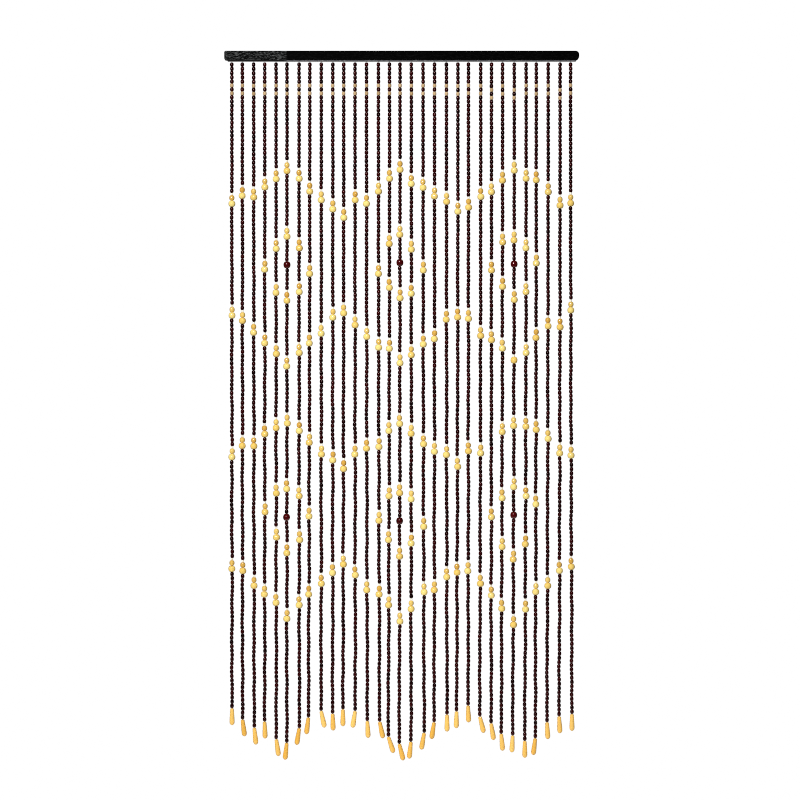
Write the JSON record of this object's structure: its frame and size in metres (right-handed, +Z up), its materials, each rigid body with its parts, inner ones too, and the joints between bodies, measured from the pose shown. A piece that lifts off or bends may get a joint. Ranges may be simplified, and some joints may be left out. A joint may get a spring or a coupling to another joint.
{
  "type": "bead curtain with its head rail",
  "caption": "Wooden bead curtain: dark strands with yellow balls in zigzags and diamonds, wooden drops at the foot, hung from a black head rail.",
  "frame": {"origin": "middle of the head rail's flat back, the face that goes against the wall", "axes": "+Z up, +X to the right as seen from the front, +Y into the wall, so the front faces -Y"},
  "size_m": [0.9, 0.02, 1.8008],
  "materials": {
    "black_painted_wood": "satin black paint over fine grain",
    "dark_lacquered_beads": "glossy red-brown lacquer, near black",
    "golden_wood": "clear lacquer on golden stained wood"
  },
  "bodies": {
    "root": {"head_rail": "black_painted_wood", "strand_curtain": "dark_lacquered_beads", "drop_01": "golden_wood", "drop_02": "golden_wood", "drop_03": "golden_wood", "drop_04": "golden_wood", "drop_05": "golden_wood", "drop_06": "golden_wood", "drop_07": "golden_wood", "drop_08": "golden_wood", "drop_09": "golden_wood", "drop_10": "golden_wood", "drop_11": "golden_wood", "drop_12": "golden_wood", "drop_13": "golden_wood", "drop_14": "golden_wood", "drop_15": "golden_wood", "drop_16": "golden_wood", "drop_17": "golden_wood", "drop_18": "golden_wood", "drop_19": "golden_wood", "drop_20": "golden_wood", "drop_21": "golden_wood", "drop_22": "golden_wood", "drop_23": "golden_wood", "drop_24": "golden_wood", "drop_25": "golden_wood", "drop_26": "golden_wood", "drop_27": "golden_wood", "drop_28": "golden_wood", "drop_29": "golden_wood", "drop_30": "golden_wood", "drop_31": "golden_wood"}
  },
  "joints": []
}
